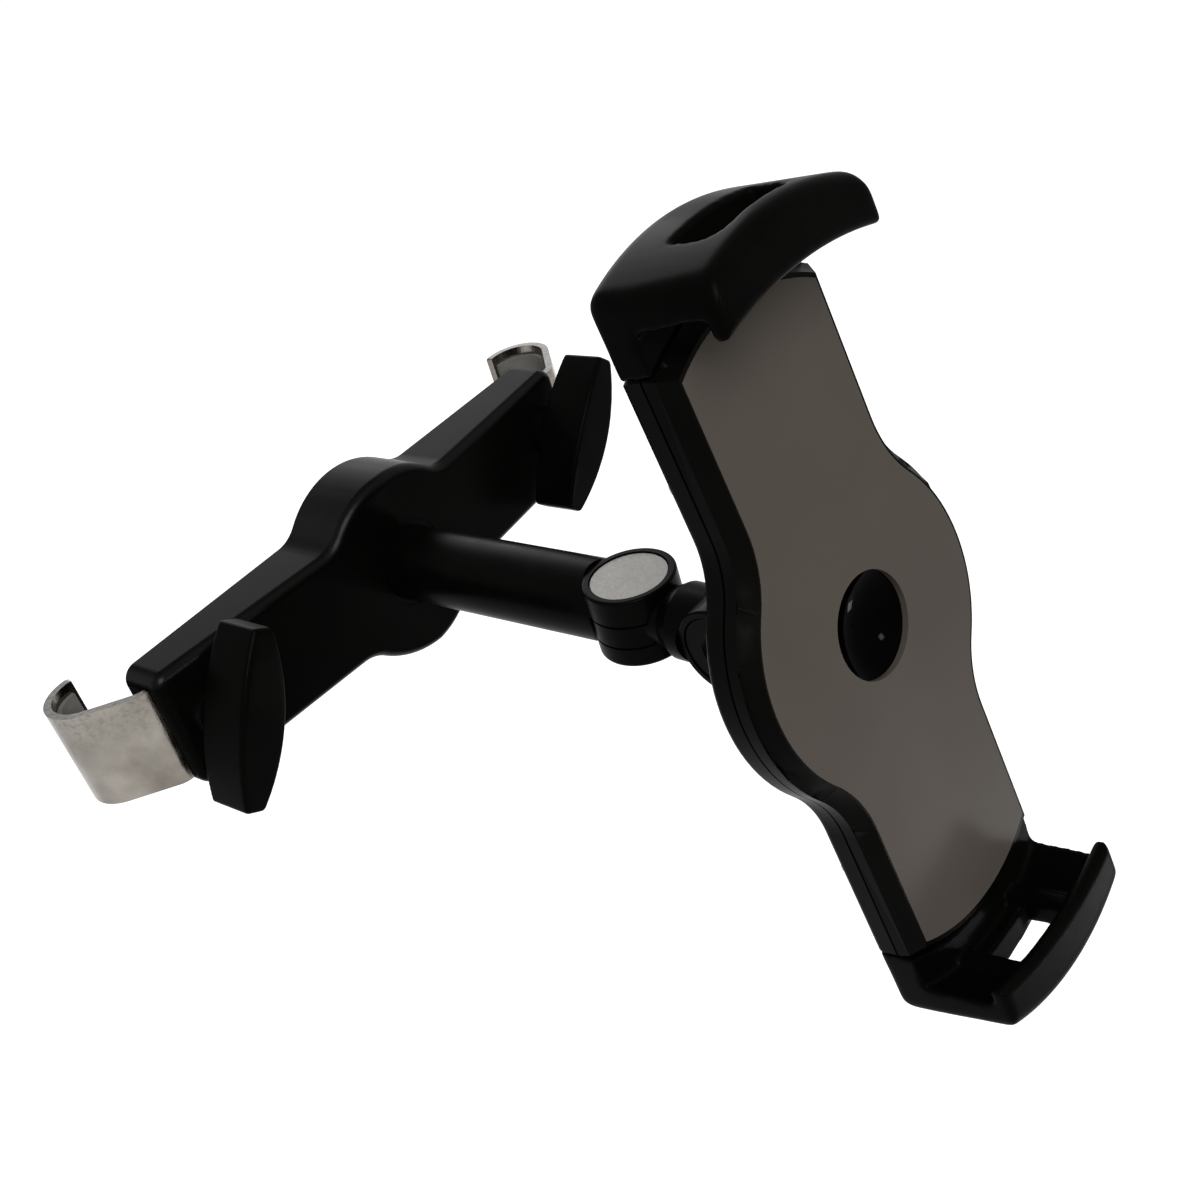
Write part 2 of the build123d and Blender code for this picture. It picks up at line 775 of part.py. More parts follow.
def jaw():
    ring = Pos(0, 0, end_centre) * revolve(jaw_section(), Axis.Y)
    outline = arc_band(jaw_inner_arc - 2 * lip_height, jaw_outer_arc, jaw_half, jaw_corner)
    block = extrude(face_plane(body_back) * outline, amount=jaw_front_depth - body_back)
    shell = (ring - lip_clearance()) & block & jaw_taper()
    window = Pos(0, -(2 * face_distance + window_low + window_high) / 2, end_centre + jaw_outer_arc)
    window = window * Box(2 * window_half, window_high - window_low, 3 * jaw_wall)
    window = fillet(window.edges().filter_by(Axis.Z).group_by(Axis.Y)[0], window_round)
    shell -= window
    rail_middle = -rail_back - rail_thickness / 2
    rail_end = end_centre + math.sqrt(jaw_inner_arc ** 2 - rail_offset ** 2)
    for side in (-1, 1):
        bar_length = rail_end + seam - rail_inner_end
        bar = Pos(side * rail_offset, rail_middle, rail_inner_end + bar_length / 2)
        shell += bar * Box(rail_width, rail_thickness, bar_length)
    tab_end = end_centre + jaw_inner_arc + seam
    tab = Pos(0, rail_middle, tab_end - spring_tab_length / 2)
    shell += tab * Box(spring_tab_width, rail_thickness, spring_tab_length)
    return shell


def jaw_pad():
    """Soft strip behind the lip, where it meets the tablet's face."""
    outer = jaw_inner_wall - lip_round - seat_gap
    band = arc_band(outer - jaw_pad_height, outer, jaw_pad_half_width, 0)
    back = lip_back - jaw_pad_thickness
    return extrude(face_plane(back) * band, amount=jaw_pad_thickness)


def jaw_spring():
    start = spring_start + spring_wire
    end = end_centre + jaw_inner_arc - spring_tab_length - spring_wire
    pitch = (end - start) / spring_turns
    helix = Helix(pitch, end - start, spring_radius)
    section = Plane(helix @ 0, z_dir=helix % 0) * Circle(spring_wire)
    coil = sweep(section, helix, is_frenet=True)
    return Pos(0, -rail_back - rail_thickness / 2, start) * coil


def upper(shape, extension):
    return holder_place * Pos(0, 0, extension) * shape


def lower(shape, extension):
    return holder_place * Pos(0, 0, -extension) * Rot(0, 180, 0) * shape


nodes = {
    "bracket_front_cover": bracket_front_cover(),
    "bracket_rear_plate": bracket_rear_plate(),
    "bracket_screws": bracket_screws(),
    "hook_left": to_left(right_hook(left_extension)),
    "hook_right": right_hook(right_extension),
    "hook_pad_left": to_left(right_hook_pad(left_extension)),
    "hook_pad_right": right_hook_pad(right_extension),
    "wing_knob_left": wing_knob(-knob_offset, left_knob_turn),
    "wing_knob_right": wing_knob(knob_offset, right_knob_turn),
    "knob_stud_left": knob_stud(-knob_offset),
    "knob_stud_right": knob_stud(knob_offset),
    "clamp_nuts": Compound(children=[clamp_nut(-knob_offset), clamp_nut(knob_offset)]),
    "knob_washers": Compound(children=[knob_washer(-knob_offset), knob_washer(knob_offset)]),
    "arm": arm(),
    "arm_bolt": arm_bolt(),
    "arm_washer": arm_washer(),
    "hinge_cap": elbow_axis * cap_disc(knuckle_top),
    "hinge_bolt": elbow_axis * headed_bolt(hinge_nut_low, knuckle_top),
    "hinge_nut": elbow_axis * hex_nut(hinge_nut_low),
    "hinge_lower_cap": hinge_lower_cap(),
    "friction_washers": friction_washers(),
    "link": link(),
    "tilt_cap": tilt_cap(),
    "tilt_bolt": tilt_axis * headed_bolt(tilt_nut_low, tilt_face),
    "tilt_nut": tilt_axis * hex_nut(tilt_nut_low),
    "tilt_washer": tilt_axis * friction_washer(-tilt_inner),
    "tilt_knuckle": tilt_knuckle(),
    "pivot_washer": pivot_washer(),
    "pivot_screw": pivot_screw(),
    "pivot_cap": pivot_cap(),
    "holder_rear_cover": holder_rear_cover(),
    "holder_front_frame": holder_front_frame(),
    "face_plate": face_plate(),
    "holder_screws": holder_screws(),
    "upper_jaw": upper(jaw(), upper_extension),
    "lower_jaw": lower(jaw(), lower_extension),
    "upper_jaw_pad": upper(jaw_pad(), upper_extension),
    "lower_jaw_pad": lower(jaw_pad(), lower_extension),
    "upper_spring": upper(jaw_spring(), 0),
    "lower_spring": lower(jaw_spring(), 0),
}

for name, shape in nodes.items():
    export_step(shape, "parts/" + name + ".step")
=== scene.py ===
import bmesh
import bpy
import json
import math
from mathutils import Matrix, Vector


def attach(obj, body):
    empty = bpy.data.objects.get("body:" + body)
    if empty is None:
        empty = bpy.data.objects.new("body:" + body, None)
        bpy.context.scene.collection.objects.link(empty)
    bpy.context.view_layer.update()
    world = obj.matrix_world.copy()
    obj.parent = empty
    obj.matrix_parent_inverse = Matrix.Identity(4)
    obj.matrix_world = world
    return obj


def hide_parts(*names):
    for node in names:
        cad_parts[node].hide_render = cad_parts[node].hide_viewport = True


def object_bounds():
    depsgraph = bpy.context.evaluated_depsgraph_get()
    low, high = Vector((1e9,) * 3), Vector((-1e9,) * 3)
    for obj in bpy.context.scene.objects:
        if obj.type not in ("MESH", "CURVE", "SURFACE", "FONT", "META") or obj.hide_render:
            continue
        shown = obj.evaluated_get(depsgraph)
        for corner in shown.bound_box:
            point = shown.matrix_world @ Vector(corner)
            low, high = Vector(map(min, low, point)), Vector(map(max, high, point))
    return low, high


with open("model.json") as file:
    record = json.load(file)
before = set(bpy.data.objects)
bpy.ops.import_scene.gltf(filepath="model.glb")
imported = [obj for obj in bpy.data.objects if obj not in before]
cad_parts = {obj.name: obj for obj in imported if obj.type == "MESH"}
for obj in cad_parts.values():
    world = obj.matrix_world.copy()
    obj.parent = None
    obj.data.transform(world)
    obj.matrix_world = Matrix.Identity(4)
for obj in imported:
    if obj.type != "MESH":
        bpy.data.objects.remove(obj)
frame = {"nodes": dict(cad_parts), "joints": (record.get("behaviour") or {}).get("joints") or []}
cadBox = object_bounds()
nodes = frame["nodes"]
print("frame loaded:", len(nodes), "nodes")

scene = bpy.context.scene
scene.view_settings.view_transform = "Standard"
white = (1.0, 1.0, 1.0, 1.0)


# shared helpers for objects and pieces
def addObject(name, data):
    thing = bpy.data.objects.new(name, data)
    scene.collection.objects.link(thing)
    return thing


def coat(mesh, mat):
    mesh.materials.clear()
    mesh.materials.append(mat)


def dress(mat, *names):
    for name in names:
        coat(nodes[name].data, mat)


# body that a new piece rides on, and the CAD node that it stands in for
def fasten(piece, body, nodeName=None):
    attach(piece, body)
    if nodeName:
        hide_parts(nodeName)


def jointNamed(name):
    return next(joint for joint in frame["joints"] if joint["name"] == name)


# camera, found from the edges of the bracket, arm and plate in the photo
cameraView = {
    "place": (-0.162751, -0.237320, 0.147614),
    "right": (0.575825, -0.775513, -0.258855),
    "down": (-0.570877, -0.154743, -0.806321),
    "lens": 43.431, "sensor": 36.0,      # mm
    "near": 0.01,                        # m
}


def makeCamera(view):
    data = bpy.data.cameras.new("photoCamera")
    data.sensor_fit = "HORIZONTAL"
    data.sensor_width = view["sensor"]
    data.lens = view["lens"]
    data.clip_start = view["near"]
    camera = addObject("photoCamera", data)
    right = Vector(view["right"])
    down = Vector(view["down"])
    forward = right.cross(down)
    turn = Matrix((right, -down, -forward)).transposed()
    camera.matrix_world = Matrix.Translation(view["place"]) @ turn.to_4x4()
    scene.camera = camera


makeCamera(cameraView)
print("camera set")

# noises of the materials: the part of their range that is used, then detail and roughness of each kind
noiseSpan = (0.3, 0.7)
noiseKinds = {"patches": (3.0, 0.5), "grain": (2.0, 0.6), "streaks": (4.0, 0.6)}


# shared material helpers
def startMaterial(name):
    mat = bpy.data.materials.new(name)
    mat.use_nodes = True
    tree = mat.node_tree
    return mat, tree, tree.nodes["Principled BSDF"]


def addNode(tree, kind, **sockets):
    node = tree.nodes.new(kind)
    for socket, value in sockets.items():
        node.inputs[socket.replace("_", " ")].default_value = value
    return node


def addNoise(tree, coords, scale, kind):
    detail, roughness = noiseKinds[kind]
    noise = addNode(tree, "ShaderNodeTexNoise", Scale=scale, Detail=detail, Roughness=roughness)
    tree.links.new(coords, noise.inputs["Vector"])
    return noise.outputs["Fac"]


def objectCoords(tree, stretch=(1.0, 1.0, 1.0)):
    coords = tree.nodes.new("ShaderNodeTexCoord")
    mapping = addNode(tree, "ShaderNodeMapping", Scale=stretch)
    tree.links.new(coords.outputs["Object"], mapping.inputs["Vector"])
    return mapping.outputs["Vector"]


def colourBetween(tree, fac, dark, light):
    ramp = tree.nodes.new("ShaderNodeValToRGB")
    for stop, place, colour in zip(ramp.color_ramp.elements, noiseSpan, (dark, light)):
        stop.position = place
        stop.color = (*colour, 1.0)
    tree.links.new(fac, ramp.inputs["Fac"])
    return ramp.outputs["Color"]


def bumpFrom(tree, fac, strength, depth):
    bump = addNode(tree, "ShaderNodeBump", Strength=strength, Distance=depth)
    tree.links.new(fac, bump.inputs["Height"])
    return bump.outputs["Normal"]


def ranged(tree, value, low, high, start, end):
    span = addNode(tree, "ShaderNodeMapRange", From_Min=low, From_Max=high, To_Min=start, To_Max=end)
    tree.links.new(value, span.inputs["Value"])
    return span.outputs["Result"]


def combined(tree, operation, first, second=0.0):
    node = tree.nodes.new("ShaderNodeMath")
    node.operation = operation
    for socket, value in zip(node.inputs, (first, second)):
        if isinstance(value, float):
            socket.default_value = value
        else:
            tree.links.new(value, socket)
    return node.outputs["Value"]


def multiplied(tree, colour, factor):
    node = tree.nodes.new("ShaderNodeVectorMath")
    node.operation = "MULTIPLY"
    tree.links.new(colour, node.inputs[0])
    tree.links.new(factor, node.inputs[1])
    return node.outputs["Vector"]


def upwardShare(tree):
    coords = tree.nodes.new("ShaderNodeTexCoord")
    parts = tree.nodes.new("ShaderNodeSeparateXYZ")
    tree.links.new(coords.outputs["Normal"], parts.inputs["Vector"])
    return combined(tree, "ABSOLUTE", parts.outputs["Z"])


def linkSurface(tree, shader, colour, roughness, normal):
    for socket, source in (("Base Color", colour), ("Roughness", roughness), ("Normal", normal)):
        tree.links.new(source, shader.inputs[socket])


def grainedPlastic(name, look):
    mat, tree, shader = startMaterial(name)
    coords = objectCoords(tree)
    patches = addNoise(tree, coords, look["patchScale"], "patches")
    grain = addNoise(tree, coords, look["grainScale"], "grain")
    colour = colourBetween(tree, patches, look["dark"], look["light"])
    roughness = ranged(tree, patches, *noiseSpan, look["smooth"], look["rough"])
    normal = bumpFrom(tree, grain, look["grain"], look["grainDepth"])
    linkSurface(tree, shader, colour, roughness, normal)
    shader.inputs["Specular IOR Level"].default_value = look["gloss"]
    return mat


def brushedMetal(name, look):
    mat, tree, shader = startMaterial(name)
    streaks = addNoise(tree, objectCoords(tree, look["stretch"]), look["streakScale"], "streaks")
    patches = addNoise(tree, objectCoords(tree), look["patchScale"], "patches")
    colour = colourBetween(tree, patches, look["dark"], look["light"])
    roughness = ranged(tree, streaks, *noiseSpan, look["smooth"], look["rough"])
    normal = bumpFrom(tree, streaks, look["streaks"], look["streakDepth"])
    linkSurface(tree, shader, colour, roughness, normal)
    shader.inputs["Metallic"].default_value = look["metal"]
    shader.inputs["Specular IOR Level"].default_value = look["gloss"]
    return mat


# bracket, a black moulding with a fine spark-eroded grain
bracketLook = {
    "dark": (0.0008, 0.0009, 0.0007), "light": (0.0014, 0.0015, 0.0012),
    "smooth": 0.26, "rough": 0.33, "gloss": 0.009,
    "patchScale": 60.0, "grainScale": 2600.0, "grain": 0.25, "grainDepth": 0.00005,
    "paintedSheenGloss": 0.06,
    "paintedSheenRise": (0.2, 0.5, 0.8, 0.97),      # upward share of the facing where the painted sheen rises, holds and falls
}


# painted sheen: gloss raised on surfaces that face between up and front, standing in for the highlight that
# light from above and in front gives them
def paintSheenOnUpperEdges(mat, look):
    tree = mat.node_tree
    shader = tree.nodes["Principled BSDF"]
    upward = upwardShare(tree)
    start, full, fall, end = look["paintedSheenRise"]
    rising = ranged(tree, upward, start, full, 0.0, 1.0)
    falling = ranged(tree, upward, fall, end, 1.0, 0.0)
    edge = combined(tree, "MULTIPLY", rising, falling)
    # gloss raised here is a painted sheen, not a polished surface
    gloss = ranged(tree, edge, 0.0, 1.0, look["gloss"], look["paintedSheenGloss"])
    tree.links.new(gloss, shader.inputs["Specular IOR Level"])


bracketPlastic = grainedPlastic("bracketPlastic", bracketLook)
paintSheenOnUpperEdges(bracketPlastic, bracketLook)
dress(bracketPlastic, "bracket_front_cover", "bracket_rear_plate")

# collar that fills the step round the arm's root, flush with the wedge
collar = {
    "inner": 0.00806, "outer": 0.00934,      # m, radii
    "back": 0.0147, "crest": 0.0159,         # m from the bracket's back
    "slope": 0.0935, "steps": 96,
}


def makeCollar(values):
    corners = (("inner", False), ("outer", False), ("outer", True), ("inner", True))
    count, steps = len(corners), values["steps"]
    points, faces = [], []
    for step in range(steps):
        angle = 2 * math.pi * step / steps
        for radius, flush in corners:
            x = values[radius] * math.cos(angle)
            depth = values["crest"] - values["slope"] * abs(x) if flush else values["back"]
            points.append((x, -depth, values[radius] * math.sin(angle)))
        here, ahead = count * step, count * ((step + 1) % steps)
        for side in range(count):
            beside = (side + 1) % count
            faces.append((here + side, here + beside, ahead + beside, ahead + side))
    mesh = bpy.data.meshes.new("armCollar")
    mesh.from_pydata(points, [], faces)
    coat(mesh, bracketPlastic)
    fasten(addObject("armCollar", mesh), "bracket")


makeCollar(collar)

# arm, elbow, link and tilt knuckle, satin black paint over metal
paintLook = {
    "dark": (0.0008, 0.0008, 0.0007), "light": (0.0014, 0.0014, 0.0012),
    "smooth": 0.26, "rough": 0.34, "gloss": 0.018,
    "patchScale": 120.0, "grainScale": 1500.0, "grain": 0.12, "grainDepth": 0.00004,
}
dress(grainedPlastic("armPaint", paintLook), "arm", "hinge_lower_cap", "link", "tilt_knuckle", "tilt_cap")

# edges that the tools leave slightly broken: bevel steps, least angle in degrees, widths in metres
edgeSteps = 2
edgeAngle = 32.0
edgeBreaks = {
    "hinge_lower_cap": 0.00025, "link": 0.00025, "tilt_knuckle": 0.0003, "tilt_cap": 0.0002,
    "holder_rear_cover": 0.0003, "face_plate": 0.00025, "hinge_cap": 0.00015,
    "hook_left": 0.0005, "hook_right": 0.0005,
}


def breakEdges(piece, width):
    edge = piece.modifiers.new("brokenEdges", "BEVEL")
    edge.width = width
    edge.segments = edgeSteps
    edge.limit_method = "ANGLE"
    edge.angle_limit = math.radians(edgeAngle)
    edge.harden_normals = True


for name, width in edgeBreaks.items():
    breakEdges(nodes[name], width)
print("edges broken")

# holder shells, with painted shade along the seam round their side
holderLook = {
    "dark": (0.0009, 0.0009, 0.0008), "light": (0.0015, 0.0015, 0.0013),
    "smooth": 0.28, "rough": 0.35, "gloss": 0.02,
    "patchScale": 70.0, "grainScale": 2600.0, "grain": 0.22, "grainDepth": 0.00005,
    "seamDepth": -0.0052, "seamHalf": 0.00011, "seamFade": 0.0002,      # m, depth from the plate's face
}
faceDepth = 0.0266       # m from the pivot to the plate's face
arcCentre = 0.0243       # m from the pivot to the middle of each end's arc


def holderPivot():
    pivot = jointNamed("holder_spin")
    return Vector(pivot["pos_m"]), Vector(pivot["axis"])


def plasticWithPaintedSeamShade(name, look):
    mat = grainedPlastic(name, look)
    tree = mat.node_tree
    shader = tree.nodes["Principled BSDF"]
    centre, facing = holderPivot()
    along = tree.nodes.new("ShaderNodeVectorMath")
    along.operation = "DOT_PRODUCT"
    along.inputs[1].default_value = facing
    tree.links.new(objectCoords(tree), along.inputs[0])
    level = facing.dot(centre) + faceDepth + look["seamDepth"]
    off = combined(tree, "ABSOLUTE", combined(tree, "SUBTRACT", along.outputs["Value"], level))
    # painted shade: the band round the seam is darkened and its gloss taken away where the two shells meet
    clear = ranged(tree, off, look["seamHalf"], look["seamHalf"] + look["seamFade"], 0.0, 1.0)
    colour = shader.inputs["Base Color"].links[0].from_socket
    tree.links.new(multiplied(tree, colour, clear), shader.inputs["Base Color"])
    gloss = combined(tree, "MULTIPLY", clear, look["gloss"])
    tree.links.new(gloss, shader.inputs["Specular IOR Level"])
    return mat


holderPlastic = plasticWithPaintedSeamShade("holderPlastic", holderLook)
dress(holderPlastic, "holder_rear_cover")

# front shell, its side upright a little further before the rim slopes in, in metres
frontShape = {
    "shoulder": -0.004,      # from the face, where the moulded slope starts
    "rise": 0.0013,          # how much later it starts here
    "reach": 0.00002,        # points this close to the shoulder are on it
    "endRadius": 0.0376, "endLean": 0.0004,      # points past this radius lean in, clear of the jaws
    "edge": 0.0003,
}


def makeFrontFrame(shape):
    centre, facing = holderPivot()
    outward = Vector(jointNamed("upper_jaw_slide")["axis"])
    level = facing.dot(centre) + faceDepth + shape["shoulder"]
    mesh = nodes["holder_front_frame"].data.copy()
    moved = [vertex for vertex in mesh.vertices if abs(vertex.co.dot(facing) - level) < shape["reach"]]
    for vertex in moved:
        vertex.co += shape["rise"] * facing
        away = vertex.co - centre
        end = math.copysign(1.0, away.dot(outward)) * outward
        spoke = away - away.dot(facing) * facing - arcCentre * end
        if spoke.dot(end) > 0.0 and spoke.length > shape["endRadius"]:
            vertex.co -= shape["endLean"] * spoke.normalized()
    coat(mesh, holderPlastic)
    piece = addObject("frontFrame", mesh)
    breakEdges(piece, shape["edge"])
    fasten(piece, "holder", "holder_front_frame")
    print("front frame:", len(moved), "points moved")


makeFrontFrame(frontShape)


# worn pieces: remeshed finely, smoothed where they are soft, then thinned out
def baked(piece):
    view = bpy.context.evaluated_depsgraph_get()
    mesh = bpy.data.meshes.new_from_object(piece.evaluated_get(view))
    piece.modifiers.clear()
    piece.data = mesh


def wornCopy(name, nodeName, body, mat, shape, mesh, softness, reshape=None):
    piece = addObject(name, mesh)
    remesh = piece.modifiers.new("even", "REMESH")
    remesh.mode = "VOXEL"
    remesh.voxel_size = shape["voxel"]
    baked(piece)
    if reshape:
        reshape(piece.data)
    soft = piece.vertex_groups.new(name="soft")
    for vertex in piece.data.vertices:
        soft.add([vertex.index], softness(vertex.co), "REPLACE")
    smooth = piece.modifiers.new("wornEdges", "SMOOTH")
    smooth.factor = shape["factor"]
    smooth.iterations = shape["passes"]
    smooth.vertex_group = "soft"
    thin = piece.modifiers.new("thinned", "DECIMATE")
    thin.ratio = shape["kept"]
    baked(piece)
    coat(piece.data, mat)
    for face in piece.data.polygons:
        face.use_smooth = True
    fasten(piece, body, nodeName)
    print(name, len(piece.data.polygons), "faces")


# jaws, the moulded shape with its outer edges worn soft
jawLook = {
    "dark": (0.0009, 0.0009, 0.0008), "light": (0.0015, 0.0015, 0.0013),
    "smooth": 0.28, "rough": 0.36, "gloss": 0.010,
    "patchScale": 80.0, "grainScale": 2600.0, "grain": 0.25, "grainDepth": 0.00005,
}
jawPlastic = grainedPlastic("jawPlastic", jawLook)
jawShape = {
    "voxel": 0.0003,           # m, how finely the moulding is remeshed
    "factor": 0.5,             # how far one round of smoothing goes
    "passes": 44,              # rounds of smoothing
    "kept": 0.3,               # share of the faces left after thinning out
    "seamRadius": 0.0382,      # m from the middle of the end's arc
    "seamKept": 0.0012,        # m from the seam where the edge stays crisp
    "seamSoft": 0.0045,        # m from the seam where it is fully soft
    "faceSoft": 0.002,         # m in front of the face where all is soft
    "crisp": 0.3,              # share of the smoothing that crisp edges get
    "slice": 0.0005,           # m of depth in which the ends are measured
    "upperRound": (0.002, 0.0035),       # m, corner radius at the face and in front
    "lowerRound": (0.0012, 0.0012),
    "endDepth": (0.0, 0.012),            # m in front of the face where the two radii hold
    "ribX": (0.0068, 0.0105), "ribReach": (0.0416, 0.047), "ribDepth": (-0.0022, 0.0104),      # m
}


# a box between three spans along three axes
def addBlock(mesh, origin, axes, spans):
    shape = bmesh.new()
    shape.from_mesh(mesh)
    for vertex in bmesh.ops.create_cube(shape, size=1.0)["verts"]:
        local = vertex.co.copy()
        vertex.co = origin.copy()
        for axis, (low, high), part in zip(axes, spans, local):
            vertex.co += axis * (low + (part + 0.5) * (high - low))
    bmesh.ops.recalc_face_normals(shape, faces=shape.faces)
    shape.to_mesh(mesh)
    shape.free()


# rounds the corners between the arched outside and the ends of a jaw
def roundEnds(mesh, middle, facing, across, outward, radii):
    ends, places = {}, []
    for vertex in mesh.vertices:
        away = vertex.co - middle
        depth = away.dot(facing)
        reach = (away - depth * facing).length
        side = away.dot(across)
        level = round(depth / jawShape["slice"])
        wide, far = ends.get(level, (0.0, 0.0))
        ends[level] = (max(wide, abs(side)), max(far, reach))
        places.append((vertex, depth, reach, side, level))
    (small, large), (start, end) = radii, jawShape["endDepth"]
    for vertex, depth, reach, side, level in places:
        share = min(max((depth - faceDepth - start) / (end - start), 0.0), 1.0)
        radius = small + share * (large - small)
        wide, far = ends[level]
        over, beyond = abs(side) - wide + radius, reach - far + radius
        if over <= 0.0 or beyond <= 0.0 or math.hypot(over, beyond) <= radius:
            continue
        pull = radius / math.hypot(over, beyond)
        newSide = wide - radius + pull * over
        newReach = far - radius + pull * beyond
        along = math.sqrt(newReach ** 2 - newSide ** 2)
        vertex.co = middle + depth * facing + math.copysign(newSide, side) * across + along * outward


def softJaw(name, nodeName, body, slideName, radii, ribbed):
    centre, facing = holderPivot()
    outward = Vector(jointNamed(slideName)["axis"])
    across = facing.cross(outward)
    middle = centre + arcCentre * outward
    mesh = nodes[nodeName].data.copy()
    ribDepth = [faceDepth + depth for depth in jawShape["ribDepth"]]
    ribSpans = (jawShape["ribX"], jawShape["ribReach"], ribDepth)
    for side in (-1, 1) if ribbed else ():
        addBlock(mesh, middle, (side * across, outward, facing), ribSpans)

    def softness(place):
        away = place - middle
        depth = away.dot(facing)
        reach = (away - depth * facing).length - jawShape["seamRadius"]
        outside = (reach - jawShape["seamKept"]) / (jawShape["seamSoft"] - jawShape["seamKept"])
        inFront = (depth - faceDepth) / jawShape["faceSoft"]
        return min(max(outside, inFront, jawShape["crisp"]), 1.0)

    def reshape(even):
        roundEnds(even, middle, facing, across, outward, radii)

    wornCopy(name, nodeName, body, jawPlastic, jawShape, mesh, softness, reshape)


softJaw("upperJaw", "upper_jaw", "top_jaw", "upper_jaw_slide", jawShape["upperRound"], False)
softJaw("lowerJaw", "lower_jaw", "bottom_jaw", "lower_jaw_slide", jawShape["lowerRound"], True)

# wing knobs, the bracket's black with a softer sheen, softened all round
knobLook = {
    "dark": (0.0008, 0.0009, 0.0007), "light": (0.0014, 0.0015, 0.0012),
    "smooth": 0.26, "rough": 0.33, "gloss": 0.012,
    "patchScale": 90.0, "grainScale": 2600.0, "grain": 0.25, "grainDepth": 0.00005,
}
knobPlastic = grainedPlastic("knobPlastic", knobLook)
knobShape = {"voxel": 0.00028, "factor": 0.5, "passes": 10, "kept": 0.3}
for side in ("left", "right"):
    nodeName = "wing_knob_" + side
    knobMesh = nodes[nodeName].data.copy()
    wornCopy(side + "Knob", nodeName, side + "_knob", knobPlastic, knobShape,
             knobMesh, lambda place: 1.0)

# dished cap in the plate's hole, polished black
pivotCapLook = {
    "dark": (0.0002, 0.0002, 0.0002), "light": (0.0004, 0.0004, 0.0003),
    "smooth": 0.05, "rough": 0.08, "gloss": 0.01,
    "patchScale": 150.0, "grainScale": 800.0, "grain": 0.03, "grainDepth": 0.00002,
}
dress(grainedPlastic("pivotCapGloss", pivotCapLook), "pivot_cap")

# grey lining of the hooks
rubberLook = {
    "dark": (0.08, 0.077, 0.071), "light": (0.115, 0.11, 0.102),
    "smooth": 0.62, "rough": 0.75, "gloss": 0.3,
    "patchScale": 200.0, "grainScale": 1800.0, "grain": 0.35, "grainDepth": 0.00008,
}
dress(grainedPlastic("hookLining", rubberLook), "hook_pad_left", "hook_pad_right")

# black strips behind the jaws' lips
lipLook = {
    "dark": (0.0008, 0.0008, 0.0008), "light": (0.0013, 0.0013, 0.0013),
    "smooth": 0.5, "rough": 0.62, "gloss": 0.008,
    "patchScale": 200.0, "grainScale": 1800.0, "grain": 0.35, "grainDepth": 0.00008,
}
dress(grainedPlastic("lipStrip", lipLook), "upper_jaw_pad", "lower_jaw_pad")

# friction washers in nylon, coloured near black
nylonLook = {
    "dark": (0.004, 0.004, 0.004), "light": (0.008, 0.008, 0.007),
    "smooth": 0.4, "rough": 0.5, "gloss": 0.02,
    "patchScale": 120.0, "grainScale": 1200.0, "grain": 0.1, "grainDepth": 0.00004,
}
dress(grainedPlastic("nylon", nylonLook), "friction_washers", "tilt_washer")
print("plastics done")

# face plate, satin warm grey with a metallic glint
plateLook = {
    "dark": (0.054, 0.0465, 0.0393), "light": (0.0605, 0.0522, 0.0442),
    "smooth": 0.36, "rough": 0.42, "metal": 0.06, "gloss": 0.03,
    "stretch": (1.0, 1.0, 1.0), "streakScale": 2500.0, "patchScale": 40.0,
    "streaks": 0.08, "streakDepth": 0.00004,
}
dress(brushedMetal("platePaint", plateLook), "face_plate")

# hooks, plated strip with a slightly wavy polish
hookLook = {
    "dark": (0.145, 0.13, 0.113), "light": (0.285, 0.264, 0.237),
    "smooth": 0.16, "rough": 0.3, "metal": 1.0, "gloss": 0.5,
    "stretch": (1.0, 1.0, 0.3), "streakScale": 700.0, "patchScale": 105.0,
    "streaks": 0.6, "streakDepth": 0.00012,
    # upward share of the facing, and the factor there before it is scaled up: after scaling, faces turned
    # up or down are darker and the bevel slopes between carry a painted highlight
    "edgeShadeAndHighlight": ((0.0, 0.5), (0.12, 0.5), (0.28, 1.0), (0.72, 1.0), (0.88, 0.045), (1.0, 0.045)),
    "shadeScale": 2.0,
    "wrinkleStretch": (0.3, 1.0, 1.0), "wrinkleScale": 1300.0, "wrinkleReflectionDarkness": 0.3,
    "wrinkleSpan": (0.48, 0.66),         # part of the noise that makes a wrinkle
    "wrinkleRise": (0.001, 0.0105),      # m, the painted dark wrinkle reflections grow between these heights
}


